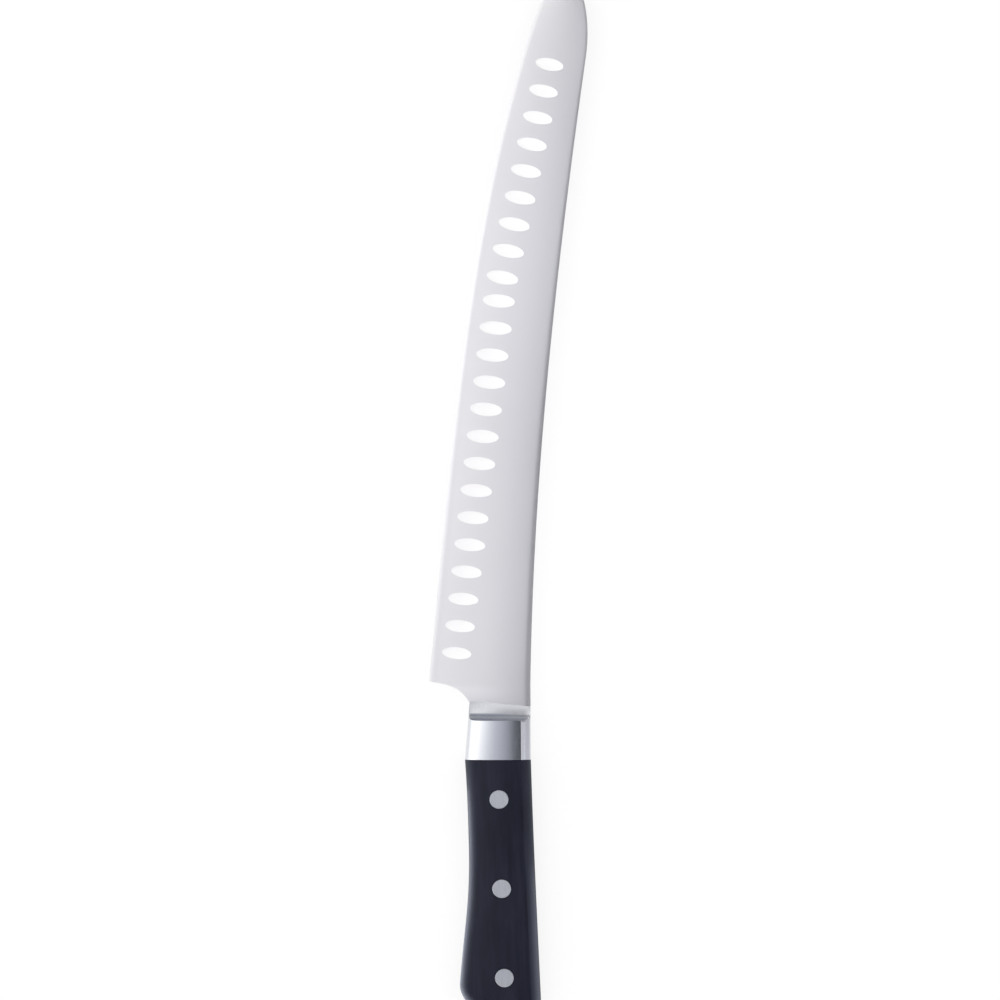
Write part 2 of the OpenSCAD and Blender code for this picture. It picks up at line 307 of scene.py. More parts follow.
def blackWood():
    # Resin-filled laminated wood: long faint streaks, cloudy dye and fine closed pores
    s = woodFinish
    material, tree, shader, coordinates = startMaterial("blackLaminatedWood")
    streaks = stretchedNoise(tree, coordinates, s["streakScale"], 6, 0.62)
    clouds = stretchedNoise(tree, coordinates, s["cloudScale"], 3, 0.5, (-1100, -300))
    pores = stretchedNoise(tree, coordinates, s["poreScale"], 2, 0.5, (-1100, -600))
    blend = newNode(tree, "ShaderNodeMath", (-800, 0), operation="ADD")
    half = newNode(tree, "ShaderNodeMath", (-700, 0), {1: 0.5}, operation="MULTIPLY")
    tree.links.new(streaks, blend.inputs[0])
    tree.links.new(clouds, blend.inputs[1])
    tree.links.new(blend.outputs[0], half.inputs[0])
    colour = ramp(tree, half.outputs[0], [(0.34, s["dark"]), (0.5, s["middle"]), (0.68, s["light"])])
    tree.links.new(colour, shader.inputs["Base Color"])
    roughness = ramp(tree, streaks, greys(s["roughLow"], s["roughHigh"]), (-600, -250))
    tree.links.new(roughness, shader.inputs["Roughness"])
    shader.inputs["Specular IOR Level"].default_value = s["shine"]
    shader.inputs["Sheen Weight"].default_value = s["sheen"]
    shader.inputs["Sheen Tint"].default_value = (*s["sheenTint"], 1)
    pits = ramp(tree, pores, [(0.30, grey(0)), (0.42, grey(1))], (-600, -500))
    bump(tree, shader, pits, s["poreDepth"], 0.5)
    return material


rivetFinish = dict(
    dark=(0.56, 0.575, 0.615),
    light=(0.68, 0.695, 0.735),
    roughLow=0.34,
    roughHigh=0.46,
    lineScale=(6000, 260, 6000),
    grainHeight=0.000002,
)


def rivetMetal():
    # Nickel silver, ground flush with the scale along its length
    s = rivetFinish
    material, tree, shader, coordinates = startMaterial("groundNickelSilver")
    shader.inputs["Metallic"].default_value = 1
    lines = stretchedNoise(tree, coordinates, s["lineScale"], 4, 0.6)
    tree.links.new(ramp(tree, lines, overNoise(s["dark"], s["light"])), shader.inputs["Base Color"])
    roughness = ramp(tree, lines, greys(s["roughLow"], s["roughHigh"]), (-600, -250))
    tree.links.new(roughness, shader.inputs["Roughness"])
    bump(tree, shader, lines, s["grainHeight"])
    return material


satinSteel = bladeSteel("satinSteel")
# The hollows take a brightened copy of the steel, with a painted white highlight where the real hollows
# reflect a bright light.
hollowSteelPaintedBright = bladeSteel("frostedHollows", **hollowFinishPaintedBright)
polishedSteel = bolsterSteel()
woodMaterial = blackWood()
rivetMaterial = rivetMetal()
print("materials made")

# Settings of the bolster, the blade and the handle, which share one outline in plan

bolster = dict(
    runBelly=1.0,  # how far the lip runs out past bolsterFront at the belly
    runSpine=-1.5,  # and at the spine side
    rampShare=0.56,  # of the cove's length
    rampHeight=1.18,
    ovalPower=2.4,  # 2 is a true oval, more is hollower
    lipLean=16.5,  # degrees, the slope at the lip
    coveCrown=0.5,  # the cove's middle stands higher than its ends
    leastLip=0.02,  # least thickness of steel over the blade
    softBelly=0.4,  # rounding of the crest at the sides
    softSpine=0.8,
    wallColumns=7,
    seatColumns=14,
    bodySteps=10,
    rampSteps=10,
    coveSteps=20,
    topSteps=24,
)
blade = dict(
    tipOffset=32.8,  # from the handle's axis, towards the spine
    heelDepth=24.9,  # from the handle's axis, towards the edge
    heelForward=30,  # from the back of the bolster
    edgeHalf=0.2,  # half thickness where the honed band begins
    tipHalf=0.6,  # half thickness of the spine at the tip
    edgeBand=2.2,  # width of the honed band at the heel
    edgeBandPoint=1.7,
    edgeHoned=0.07,  # half thickness of the edge itself at the heel
    honedPower=1.2,  # bend of the honed band at the tip, 2 at the heel
    flankBulge=0.22,
    shoulderShare=0.55,  # of the flank, over which the shoulder rolls
    shoulderNeck=0.46,  # how far the shoulder drops at the spine
    shoulderPoint=0.0,
    cornerNeck=2.6,  # width of the small corner at the spine
    cornerPoint=1.0,
    cornerDropNeck=0.25,
    cornerDropPoint=0.04,
    tangDrop=0.04,  # drop of the corner in the handle and under the bolster
    lipLead=1.8,  # how far behind the lip the steel starts to turn bare
    lipBlend=1.4,  # length over which it does
    edgeLeanHeel=7.5,  # degrees from the handle's axis, as are the next three
    edgeLeanPoint=18.1,
    spineLeanNeck=2.5,
    spineLeanPoint=9.7,
    pointLength=31.5,  # the last stretch, which rounds off into the tip
    pointWidth=24,
    notchRadius=13.7,
    notchFoot=0.6,  # straight stretch from the bolster to the notch's arc
    heelRise=0.9,  # from the notch's arc to the heel, along the blade
    behindHeel=2,  # the edge's line is carried on this far
    pointShare=2 / 3,  # of pointWidth, from its edge to the tip's line
    pointTaper=0.85,  # share of the taper reached where the point begins
    edgePull=(5.3, 1.7),  # pulls on both curves at the tip
    spinePull=(8.2, -1.4),
    spineEase=0.45,  # of pointLength, the pull along the spine where the point begins
    buttSteps=14,
    tangSteps=40,
    bareSteps=12,
    notchSteps=26,
    longSteps=90,
    pointSteps=26,
    acrossSteps=20,
    endSteps=5,  # over the honed band and over the corner at the spine
)
handle = dict(
    spineSide=12.4,
    bellySide=12.3,
    neckWaist=2.3,  # the bolster draws in towards the blade at the belly
    neckSwell=0.5,  # and widens at the spine side
    bellyWaist=0.5,
    bellySwell=4.4,
    spineSwell=1.1,
    waistAt=30,  # from the bolster to the narrowest place of the belly
    waistPull=24,
    beakPull=(2.2, 22),
    crestPull=(-0.5, 30),
    spineBackPull=30,
    buttSlant=10,  # degrees
    beakRadius=9.5,
    buttRadius=6,
    facetWidth=3.6,  # the bevel at the spine side, seen from above
    facetFall=5.8,  # how far it falls from the top
    facetTurns=(15, 55),  # degrees from upright, at the side face and at the top
    bellyWidth=3.0,  # the bevel at the belly, likewise
    bellyFall=5.2,
    bellyTurns=(10, 72),
    rimRoundBelly=0.5,
    rimRoundSpine=0.12,
    rimSteps=4,
    beakSteps=14,
    buttSteps=12,
    seamSlant=1.7,  # degrees
    seamFade=20,  # length over which the slant is lost in the scales
    crown=0.75,  # how far the top falls from its middle to its rims
    profileSteps=8,
    crownSteps=8,
)

bellyBack = Vector((-handle["bellySide"], 0))
spineBack = Vector((handle["spineSide"], 0))
bellyFront = Vector((-handle["bellySide"] + handle["neckWaist"], bolsterFront))
spineFront = Vector((handle["spineSide"] + handle["neckSwell"], bolsterFront))

heel = Vector((-blade["heelDepth"], blade["heelForward"]))
tip = Vector((blade["tipOffset"], bladeReach))
edgeStart = heel - lean(blade["behindHeel"], blade["edgeLeanHeel"])
spineStart = spineFront + lean(edgeStart.y - bolsterFront, blade["spineLeanNeck"] / 2)
pointEdge = Vector((tip.x - blade["pointShare"] * blade["pointWidth"], tip.y - blade["pointLength"]))
pointSpine = pointEdge + Vector((blade["pointWidth"], 0))
edgeCurve = leaningCurve(edgeStart, blade["edgeLeanHeel"], pointEdge, blade["edgeLeanPoint"])
spineCurve = leaningCurve(spineStart, blade["spineLeanNeck"], pointSpine, blade["spineLeanPoint"])
pointEdgeCurve = [pointEdge, pointEdge + lean(blade["pointLength"] / 2, blade["edgeLeanPoint"]),
                  tip - Vector(blade["edgePull"]), tip]
spinePoint = lean(blade["pointLength"] * blade["spineEase"], blade["spineLeanPoint"])
pointSpineCurve = [pointSpine, pointSpine + spinePoint, tip + Vector(blade["spinePull"]), tip]


def curveAtY(curve, y):
    low, high = 0.0, 1.0
    rising = curve[3].y > curve[0].y
    for _ in range(40):
        middle = (low + high) / 2
        if (bezier(curve, middle).y < y) == rising:
            low = middle
        else:
            high = middle
    return bezier(curve, low)


# Outline of the handle in plan, as in the solids

endTurn = 270 - handle["buttSlant"]
endNormal = Vector((math.cos(math.radians(endTurn)), math.sin(math.radians(endTurn))))
buttCentre = Vector((handle["spineSide"] + handle["spineSwell"] - handle["buttRadius"],
                     -scaleLength + handle["buttRadius"]))
beakX = -handle["bellySide"] - handle["bellySwell"] + handle["beakRadius"]
beakY = (endNormal.dot(buttCentre) + handle["buttRadius"] - handle["beakRadius"]
         - endNormal.x * beakX) / endNormal.y
waist = Vector((-handle["bellySide"] + handle["bellyWaist"], -handle["waistAt"]))
beak = Vector((beakX - handle["beakRadius"], beakY))
crest = buttCentre + Vector((handle["buttRadius"], 0))
third = handle["waistAt"] / 3
bellyCurve = [bellyBack, bellyBack + Vector((handle["bellyWaist"], -third)),
              waist + Vector((0, third)), waist]
swellCurve = [waist, waist - Vector((0, handle["waistPull"])), beak + Vector(handle["beakPull"]), beak]
spineSideCurve = [crest, crest + Vector(handle["crestPull"]),
                  spineBack - Vector((0, handle["spineBackPull"])), spineBack]


def bellyX(y):
    if y >= 0:
        return mix(bellyBack, bellyFront, y / bolsterFront).x
    return curveAtY(bellyCurve if y > waist.y else swellCurve, y).x


def spineX(y):
    if y >= 0:
        return mix(spineBack, spineFront, y / bolsterFront).x
    return curveAtY(spineSideCurve, y).x


# The butt's outline, from the beak round to the spine side level with the beak
buttOutline = arcPoints(Vector((beakX, beakY)), handle["beakRadius"], 180, endTurn, handle["beakSteps"])
buttOutline += arcPoints(buttCentre, handle["buttRadius"], endTurn, 360, handle["buttSteps"])
for share in (0.33, 0.67, 1):
    y = mix(crest.y, beakY, share)
    buttOutline.append(Vector((spineX(y), y)))


# Blade and tang: one loft from the butt to the tip

def notchX(y):
    # Left limit of the steel between the bolster and the heel
    footY = bolsterFront + blade["notchFoot"]
    footX = bellyFront.x
    radius = blade["notchRadius"]
    middleY = heel.y - blade["heelRise"] - radius
    middleX = footX - math.sqrt(radius ** 2 - (footY - middleY) ** 2)
    toHeel = heel - Vector((middleX, middleY))
    touch = math.atan2(toHeel.y, toHeel.x) - math.acos(radius / toHeel.length)
    underside = Vector((middleX + radius * math.cos(touch), middleY + radius * math.sin(touch)))
    if y <= footY:
        return footX
    if y <= underside.y:
        return middleX + math.sqrt(max(0, radius ** 2 - (y - middleY) ** 2))
    return mix(underside, heel, min(1, (y - underside.y) / (heel.y - underside.y))).x


def lipY(x):
    # Where the bolster's lip runs out on the blade
    across = (x - bellyFront.x) / (spineFront.x - bellyFront.x)
    return bolsterFront + mix(bolster["runBelly"], bolster["runSpine"], across)


def bareShare(x, y):
    # 0 under the bolster and 1 from just behind its lip on
    return smooth((y - lipY(x) + blade["lipLead"]) / blade["lipBlend"])


def edgeBand(width, share):
    return min(width / 4, mix(blade["edgeBand"], blade["edgeBandPoint"], share))


def cornerWidth(width, share):
    return min(width / 6, mix(blade["cornerNeck"], blade["cornerPoint"], share))


def flankHeight(u, width, half, ground, share, bare=1):
    # Half thickness at u from the edge. The honed band curves in to the edge and the flank bulges
    # a little, both as far as the steel is ground. A broad shoulder and a small corner roll over
    # to the spine where the steel is bare.
    band = edgeBand(width, share)
    corner = cornerWidth(width, share)
    shoulder = bare * mix(blade["shoulderNeck"], blade["shoulderPoint"], math.sqrt(share))
    drop = mix(blade["tangDrop"], mix(blade["cornerDropNeck"], blade["cornerDropPoint"], share), bare)
    atBand = mix(half, blade["edgeHalf"], ground)
    rise = (half - atBand) / (width - band)
    if u < band:
        s = 1 - u / band
        honed = atBand - mix(blade["edgeHoned"], 0, share) - rise * band
        height = atBand - ground * (rise * band * s + honed * s ** mix(2, blade["honedPower"], share ** 3))
    else:
        s = (u - band) / (width - band)
        height = mix(atBand, half, s) + ground * blade["flankBulge"] * 4 * s * (1 - s)
        height -= shoulder * max(0, 1 - (1 - s) / blade["shoulderShare"]) ** 3
    if u > width - corner:
        s = 1 - (width - u) / corner
        height -= drop * s * s
    return max(0, height)


def bladeSection(edge, spine, half, ground, share=0, cut=None):
    # Corners from the edge up the left flank, over the spine and down the right flank.
    # cut is where the notch or the handle's belly side takes the steel away.
    width = (spine - edge).length
    across = (spine - edge) / width
    start = 0 if cut is None else (cut - edge.x) / across.x
    band = max(start, edgeBand(width, share))
    corner = cornerWidth(width, share)
    ends, middle = blade["endSteps"], blade["acrossSteps"]
    places = [mix(start, band, k / ends) for k in range(ends)]
    places += [mix(band, width - corner, k / middle) for k in range(middle)]
    places += [mix(width - corner, width, k / ends) for k in range(ends + 1)]
    rows = []
    for u in places:
        p = edge + across * u
        rows.append((p.x, p.y, flankHeight(u, width, half, ground, share, bareShare(p.x, p.y))))
    return rows + [(x, y, -h) for x, y, h in reversed(rows)]


def neckLine(y):
    # Between the bolster and the heel the steel is ground from full thickness to a wedge
    t = (y - bolsterFront) / (edgeStart.y - bolsterFront)
    spine = spineX(y) if t < 0 else mix(spineFront, spineStart, t).x
    return Vector((edgeStart.x, y)), Vector((spine, y)), smooth(t)


def seatHeight(x, y):
    # Height of the steel that the bolster sits on
    edge, spine, ground = neckLine(y)
    return flankHeight(x - edge.x, spine.x - edge.x, halfTang, ground, 0, bareShare(x, y))


def bladeStations():
    rings = []
    outlineYs = [p.y for p in buttOutline]
    endY = min(outlineYs)
    # Butt end of the tang, where both corners are arcs
    for i in reversed(range(1, blade["buttSteps"])):
        y = mix(beakY, endY, math.sin(math.radians(90 * i / blade["buttSteps"])))
        xs = []
        for a, b in zip(buttOutline, buttOutline[1:]):
            if (a.y - y) * (b.y - y) <= 0 and a.y != b.y:
                xs.append(mix(a, b, (y - a.y) / (b.y - a.y)).x)
        rings.append(bladeSection(Vector((min(xs), y)), Vector((max(xs), y)), halfTang, 0))
    footY = bolsterFront + blade["notchFoot"]
    bareFrom = lipY(spineFront.x) - blade["lipLead"]
    for i in range(blade["tangSteps"] + 1):
        y = mix(beakY, 0, i / blade["tangSteps"])
        rings.append(bladeSection(Vector((bellyX(y), y)), Vector((spineX(y), y)), halfTang, 0))
    # From just behind the bolster's lip on the steel is bare
    for i in range(blade["bareSteps"]):
        y = mix(bareFrom, footY, i / blade["bareSteps"])
        edge, spine, ground = neckLine(y)
        rings.append(bladeSection(edge, spine, halfTang, ground, 0, bellyX(y)))
    # The notch bounds the neck
    for i in range(blade["notchSteps"] + 1):
        y = mix(footY, heel.y, math.sin(math.radians(90 * i / blade["notchSteps"])))
        if y < edgeStart.y:
            edge, spine, ground = neckLine(y)
        else:
            edge, spine, ground = curveAtY(edgeCurve, y), curveAtY(spineCurve, y), 1
        rings.append(bladeSection(edge, spine, halfTang, ground, 0, max(notchX(y), edge.x)))
    first = (heel.y - edgeStart.y) / (pointEdge.y - edgeStart.y)
    for i in range(1, blade["longSteps"] + 1):
        t = mix(first, 1, i / blade["longSteps"])
        share = t * blade["pointTaper"]
        half = mix(halfTang, blade["tipHalf"], share)
        rings.append(bladeSection(bezier(edgeCurve, t), bezier(spineCurve, t), half, 1, share))
    for i in range(1, blade["pointSteps"]):
        t = math.sin(math.radians(90 * i / blade["pointSteps"]))
        share = mix(blade["pointTaper"], 1, t)
        half = mix(halfTang, blade["tipHalf"], share)
        rings.append(bladeSection(bezier(pointEdgeCurve, t), bezier(pointSpineCurve, t), half, 1, share))
    return rings


def makeBlade():
    rings = bladeStations()
    points = [p for ring in rings for p in ring]
    faces = ringFaces(len(rings), len(rings[0]))
    piece = meshObject("blade_and_tang", points, faces, [satinSteel, hollowSteelPaintedBright])
    tidyMesh(piece, 12)
    return piece


bladePiece = makeBlade()
print("blade lofted")

# Hollows: one lens-shaped cutter, placed along both flanks and ground out of the blade.
# The left flank has two straight rows that meet at a knee. The right flank's hollows lie between.

hollows = dict(
    start=11,  # from the heel, as is the knee
    knee=148,
    end=31.5,  # from the tip
    pitch=10.22,
    insetHeel=9.3,  # from the edge to a hollow's middle
    insetKnee=10.4,
    insetPoint=10.6,
    twist=1.5,  # degrees
    length=12.7,  # across the blade
    width=4.95,
    depth=0.32,
    endDepth=0.25,  # at both ends of a row
    lensHeight=1.0,  # half the height of the cutter
    sag=0.01,
    slopeReach=2,  # to both sides, where the flank's rise is taken
)


def stationAt(y):
    return (y - edgeStart.y) / (pointEdge.y - edgeStart.y)


def flankAlong(t):
    ahead = bezier(edgeCurve, t + 0.01) + bezier(spineCurve, t + 0.01)
    return (ahead - bezier(edgeCurve, t) - bezier(spineCurve, t)).normalized()


def flankPoint(y, inset):
    t = stationAt(y)
    along = flankAlong(t)
    return bezier(edgeCurve, t) + Vector((along.y, -along.x)) * inset


def flankAt(p):
    # The station, half thickness and rise of the flank below a point in plan
    low, high = 0, 1.1
    for _ in range(30):
        t = (low + high) / 2
        if (p - bezier(edgeCurve, t)).dot(flankAlong(t)) > 0:
            low = t
        else:
            high = t
    edge, spine = bezier(edgeCurve, low), bezier(spineCurve, low)
    width = (spine - edge).length
    share = low * blade["pointTaper"]
    half = mix(halfTang, blade["tipHalf"], share)
    inset = (p - edge).length
    reach = hollows["slopeReach"]
    here, further = [flankHeight(inset + d, width, half, 1, share) for d in (-reach, reach)]
    return (here + further) / 2 + hollows["sag"], math.atan((further - here) / (2 * reach))


def hollowPlaces():
    # Left hollows from heel to tip, each with its place in plan and its row's lean
    heelEnd = flankPoint(heel.y + hollows["start"], hollows["insetHeel"])
    knee = flankPoint(heel.y + hollows["knee"], hollows["insetKnee"])
    pointEnd = flankPoint(tip.y - hollows["end"], hollows["insetPoint"])
    left = []
    for end, step in ((heelEnd, 1), (pointEnd, -1)):
        run = knee - end
        count = int(run.length / hollows["pitch"]) + 1
        leaning = math.atan2(run.x * step, run.y * step)
        row = [(end + run.normalized() * hollows["pitch"] * i, leaning) for i in range(count)]
        left += row[::step]
    right = [((a[0] + b[0]) / 2, (a[1] + b[1]) / 2) for a, b in zip(left, left[1:])]
    places, turns = [], []
    for side, row in ((1, left), (-1, right)):
        for i, (p, leaning) in enumerate(row):
            height, rise = flankAt(p)
            share = math.sin(math.pi * i / (len(row) - 1))
            height += hollows["depth"] - mix(hollows["endDepth"], hollows["depth"], share)
            leaning -= math.radians(hollows["twist"])
            if side > 0:
                turn = Matrix.Rotation(-leaning, 3, "Z") @ Matrix.Rotation(-rise, 3, "Y")
            else:
                turn = (Matrix.Rotation(-leaning, 3, "Z") @ Matrix.Rotation(rise, 3, "Y")
                        @ Matrix.Rotation(math.pi, 3, "X"))
            places.append((p.x, p.y, side * height))
            turns.append(turn.to_euler())
    return places, turns


def hollowTree():
    tree = bpy.data.node_groups.new("grindHollows", "GeometryNodeTree")
    tree.interface.new_socket("Blade", in_out="INPUT", socket_type="NodeSocketGeometry")
    tree.interface.new_socket("Places", in_out="INPUT", socket_type="NodeSocketObject")
    for name in ("Length", "Width", "Depth", "Lens Height"):
        tree.interface.new_socket(name, in_out="INPUT", socket_type="NodeSocketFloat")
    tree.interface.new_socket("Steel", in_out="INPUT", socket_type="NodeSocketMaterial")
    tree.interface.new_socket("Blade", in_out="OUTPUT", socket_type="NodeSocketGeometry")
    link = tree.links.new
    start = newNode(tree, "NodeGroupInput", (-1400, 0))
    end = newNode(tree, "NodeGroupOutput", (1200, 0))

    def calculate(operation, a, b, place):
        node = newNode(tree, "ShaderNodeMath", place, operation=operation)
        for socket, value in zip(node.inputs, (a, b)):
            if isinstance(value, (int, float)):
                socket.default_value = value
            else:
                link(value, socket)
        return node.outputs[0]

    # A ball squashed into a lens, sunk so that the flank cuts it in the hollow's oval
    ball = newNode(tree, "GeometryNodeMeshUVSphere", (-200, 300),
                   {"Segments": 72, "Rings": 60, "Radius": 1.0})
    depth, lensHeight = start.outputs["Depth"], start.outputs["Lens Height"]
    sunk = calculate("DIVIDE", depth, lensHeight, (-1200, -100))
    level = calculate("SUBTRACT", 1.0, sunk, (-1050, -100))
    square = calculate("MULTIPLY", level, level, (-900, -100))
    spread = calculate("SQRT", calculate("SUBTRACT", 1.0, square, (-750, -100)), 0.0, (-600, -100))
    twice = calculate("MULTIPLY", spread, 2.0, (-450, -100))
    size = newNode(tree, "ShaderNodeCombineXYZ", (-150, -100))
    link(calculate("DIVIDE", start.outputs["Length"], twice, (-300, -50)), size.inputs[0])
    link(calculate("DIVIDE", start.outputs["Width"], twice, (-300, -200)), size.inputs[1])
    link(lensHeight, size.inputs[2])
    lift = newNode(tree, "ShaderNodeCombineXYZ", (-150, -300))
    link(calculate("SUBTRACT", lensHeight, depth, (-300, -350)), lift.inputs[2])
    lens = newNode(tree, "GeometryNodeTransform", (50, 300))
    link(ball.outputs["Mesh"], lens.inputs["Geometry"])
    link(lift.outputs[0], lens.inputs["Translation"])
    link(size.outputs[0], lens.inputs["Scale"])
    places = newNode(tree, "GeometryNodeObjectInfo", (50, 0))
    link(start.outputs["Places"], places.inputs["Object"])
    turn = newNode(tree, "GeometryNodeInputNamedAttribute", (50, -200), {"Name": "turn"},
                   data_type="FLOAT_VECTOR")
    put = newNode(tree, "GeometryNodeInstanceOnPoints", (250, 150))
    link(places.outputs["Geometry"], put.inputs["Points"])
    link(lens.outputs[0], put.inputs["Instance"])
    link(turn.outputs["Attribute"], put.inputs["Rotation"])
    real = newNode(tree, "GeometryNodeRealizeInstances", (450, 150))
    paint = newNode(tree, "GeometryNodeSetMaterial", (650, 150))
    link(put.outputs[0], real.inputs[0])
    link(real.outputs[0], paint.inputs["Geometry"])
    link(start.outputs["Steel"], paint.inputs["Material"])
    grind = newNode(tree, "GeometryNodeMeshBoolean", (900, 0), operation="DIFFERENCE", solver="EXACT")
    link(start.outputs["Blade"], grind.inputs["Mesh 1"])
    link(paint.outputs[0], grind.inputs["Mesh 2"])
    link(grind.outputs["Mesh"], end.inputs[0])
    return tree


def grindHollows(piece):
    places, turns = hollowPlaces()
    points = meshObject("hollow_places", places, [], [])
    turn = points.data.attributes.new("turn", "FLOAT_VECTOR", "POINT")
    for item, value in zip(turn.data, turns):
        item.vector = value
    # The ground hollows get the brightened steel, with its painted white highlight.
    applyNodes(piece, hollowTree(), {
        "Places": points,
        "Length": hollows["length"] * mm,
        "Width": hollows["width"] * mm,
        "Depth": hollows["depth"] * mm,
        "Lens Height": hollows["lensHeight"] * mm,
        "Steel": hollowSteelPaintedBright,
    })
    bpy.data.objects.remove(points)
    tidyMesh(piece, 3)


grindHollows(bladePiece)
finishPiece(bladePiece, "blade_steel", "blade")
print("hollows ground:", len(bladePiece.data.polygons), "faces")

# Handle profile, shared by the bolster and the scales


def sideProfile(spineShare, steps):
    # From the side face up to the top: (drawn in, below the rim of the top)
    w = mix(handle["bellyWidth"], handle["facetWidth"], spineShare)
    fall = mix(handle["bellyFall"], handle["facetFall"], spineShare) - handle["crown"]
    first, last = [math.radians(mix(a, b, spineShare))
                   for a, b in zip(handle["bellyTurns"], handle["facetTurns"])]
    turns = [mix(first, last, i / steps) for i in range(steps + 1)]
    return [(w * (math.cos(first) - math.cos(a)) / (math.cos(first) - math.cos(last)),
             fall * (math.sin(last) - math.sin(a)) / (math.sin(last) - math.sin(first))) for a in turns]


def rimArc(before, rim, after, spineShare):
    # Rounds the corner where a bevel meets the crowned top, from three points of one row
    r = mix(handle["rimRoundBelly"], handle["rimRoundSpine"], spineShare)
    before, rim, after = Vector(before), Vector(rim), Vector(after)
    start = rim + (before - rim).normalized() * r
    end = rim + (after - rim).normalized() * r
    arc = []
    for k in range(handle["rimSteps"] + 1):
        t = k / handle["rimSteps"]
        arc.append(tuple(start * (1 - t) ** 2 + rim * 2 * t * (1 - t) + end * t * t))
    return arc


def seam(x):
    # The joint between bolster and scales is not quite square to the handle's axis
    return -x * math.tan(math.radians(handle["seamSlant"]))


topLeft = -handle["bellySide"] + handle["bellyWidth"]
topRight = handle["spineSide"] - handle["facetWidth"]
topHalf = (topRight - topLeft) / 2


def crownDrop(u):
    # u runs from -1 at the belly rim of the top to 1 at its spine rim
    return handle["crown"] * u * u


# Bolster: the handle's section, closed at the front by a hollow cove that runs out on the blade

def sideWall(spineShare, columns):
    # Columns up one side of the bolster as (drawn in, height), from the tang to the rounded rim
    rim = halfHandle - handle["crown"]
    profile = sideProfile(spineShare, handle["profileSteps"])
    share = 1 - 1 / topHalf  # 1 mm in from the rim
    rows = [(0, halfTang)]
    rows += [(0, mix(halfTang + lipThickness, rim - profile[0][1], k / columns)) for k in range(columns)]
    rows += [(w, rim - fall) for w, fall in profile[:-1]]
    w = profile[-1][0]
    return rows + rimArc(rows[-1], (w, rim), (w + 1, halfHandle - crownDrop(share)), spineShare)


def softLower(a, b, blend):
    # The lower of two heights, rounded over where they meet
    if blend <= 0:
        return min(a, b)
    near = max(blend - abs(a - b), 0) / blend
    return min(a, b) - near * near * blend / 4


def coveHeight(y, front, reach, low):
    # A gentle ramp runs up from the lip, then a quarter of an oval turns up to the crest
    d = (front - y) / reach
    if d <= 0:
        return low
    if d >= 1:
        return 2 * halfHandle  # behind the crest the cove doesn't lower anything
    share, rise = bolster["rampShare"], bolster["rampHeight"]
    lipSlope = math.tan(math.radians(bolster["lipLean"])) * reach
    bend = rise - lipSlope * share
    if d < share:
        return low + lipSlope * d + bend * (d / share) ** 2
    t = (d - share) / (1 - share)
    line = (lipSlope + 2 * bend / share) * (1 - share)
    oval = 1 - math.sqrt(max(0, 1 - t ** bolster["ovalPower"]))
    return low + rise + line * t + (halfHandle - low - rise - line) * oval


def bolsterColumns():
    # Each column is (side, share across or distance drawn in, height, softness of the crest)
    s = bolster
    columns = []
    for w, z in sideWall(0, s["wallColumns"]):
        fade = smooth((z - halfTang) / (halfHandle - halfTang))
        columns.append(("belly", w, z, s["softBelly"] * (1 - fade)))
    for k in range(1, s["topSteps"]):
        u = 2 * k / s["topSteps"] - 1
        columns.append(("top", u, halfHandle - crownDrop(u), 0))
    for w, z in reversed(sideWall(1, s["wallColumns"])):
        fade = smooth((w - 1) / (handle["facetWidth"] - 1))
        columns.append(("spine", w, z, s["softSpine"] * (1 - fade)))
    for k in range(s["seatColumns"] - 1, 0, -1):
        columns.append(("seat", (k / s["seatColumns"]) ** 0.5, halfTang, 0))
    return columns


def columnX(kind, value, y):
    left = mix(bellyBack, bellyFront, y / bolsterFront).x
    right = mix(spineBack, spineFront, y / bolsterFront).x
    if kind == "belly":
        return left + value
    if kind == "spine":
        return right - value
    if kind == "seat":
        return mix(left, right, value)
    return mix(left + handle["bellyWidth"], right - handle["facetWidth"], (value + 1) / 2)


def bolsterRings():
    s = bolster
    rings = [[] for _ in range(s["bodySteps"] + s["coveSteps"] + s["rampSteps"] + 1)]
    for kind, value, z, soft in bolsterColumns():
        x = columnX(kind, value, bolsterLength)
        front = lipY(x)
        back = seam(x)
        reach = front - bolsterLength - back
        low = seatHeight(x, front) + lipThickness
        # The crest of a lower column lies further forward
        near, far = 0.0, 1.0
        for _ in range(30):
            middle = (near + far) / 2
            if coveHeight(front - middle * reach, front, reach, low) < z:
                near = middle
            else:
                far = middle
        meets = front - near * reach
        ys = [mix(meets, back, (1 - j / s["bodySteps"]) ** 2) for j in range(s["bodySteps"] + 1)]
        rampTop = front - min(near, s["rampShare"]) * reach
        for j in range(1, s["coveSteps"] + 1):
            ys.append(rampTop + (meets - rampTop) * (1 - math.sin(math.pi / 2 * j / s["coveSteps"])))
        ys += [mix(rampTop, front, j / s["rampSteps"]) for j in range(1, s["rampSteps"] + 1)]
        u = 2 * (x - bellyFront.x) / (spineFront.x - bellyFront.x) - 1
        for ring, y in zip(rings, ys):
            px = columnX(kind, value, y)
            seat = seatHeight(px, y)
            if kind == "seat" or z <= halfTang:
                ring.append((px, y, seat))
                continue
            height = softLower(z, coveHeight(y, front, reach, low), min(soft, halfHandle - z))
            if y > meets:
                # The cove is a little higher in the middle than at both ends
                climb = max(0, height - low)
                fade = max(0, 1 - climb / max(0.01, z - low))
                height -= s["coveCrown"] * u * u * 2 * climb / (halfHandle - low) * fade
            ring.append((px, y, max(seat + s["leastLip"], height)))
    return rings


def makeBolster(name, side, node):
    rings = [[(x, y, side * z) for x, y, z in ring] for ring in bolsterRings()]
    points = [p for ring in rings for p in ring]
    piece = meshObject(name, points, ringFaces(len(rings), len(rings[0])), [polishedSteel])
    tidyMesh(piece, 35)
    finishPiece(piece, "bolster_steel", node)


makeBolster("bolster_half_left", 1, "bolster_left")
makeBolster("bolster_half_right", -1, "bolster_right")
print("bolster made")

# Scales: side rows from the bolster to the beak, and the butt's rows round one pole

scales = dict(sideSteps=48, holeGap=0.05, drillOver=2, drillChamfer=0.01)


